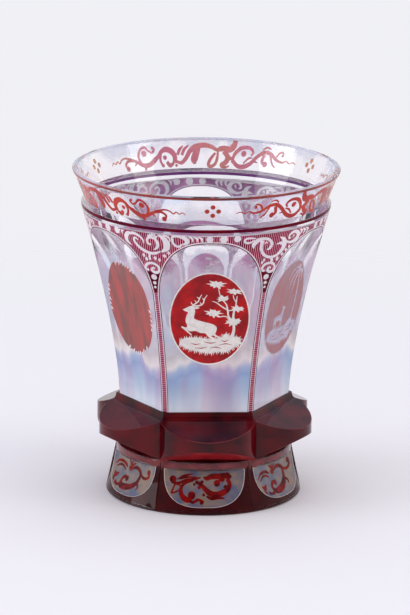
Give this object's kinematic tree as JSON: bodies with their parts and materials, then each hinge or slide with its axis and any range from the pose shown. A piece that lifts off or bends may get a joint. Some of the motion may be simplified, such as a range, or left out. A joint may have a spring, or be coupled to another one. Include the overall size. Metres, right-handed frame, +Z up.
{
  "type": "footed drinking glass",
  "caption": "Footed drinking glass with a flared, flat-panelled bowl in clear crystal, oval ruby medallions, a lobed ruby collar and a windowed ruby foot.",
  "frame": {"origin": "middle of the foot's standing ring, on the surface that the glass stands on", "axes": "+Z up along the axis of the glass, -Y out of the middle of the front panel"},
  "size_m": [0.104, 0.104, 0.13],
  "materials": {
    "crystal": "polished clear glass with a faint lilac tone, cut and fire polished",
    "ruby": "thin ruby layer over clear glass, polished, engraved through to frosted white",
    "deep_ruby": "thick ruby glass, cut and polished, almost black where it is deepest"
  },
  "bodies": {
    "root": {"foot": "crystal", "foot_ruby": "ruby", "collar": "deep_ruby", "bowl": "crystal", "arcade_ruby": "ruby", "ledge_line": "ruby", "rim_line": "ruby", "medallion_1": "ruby", "medallion_2": "ruby", "medallion_3": "ruby", "medallion_4": "ruby", "medallion_5": "ruby", "medallion_6": "ruby"}
  },
  "joints": []
}
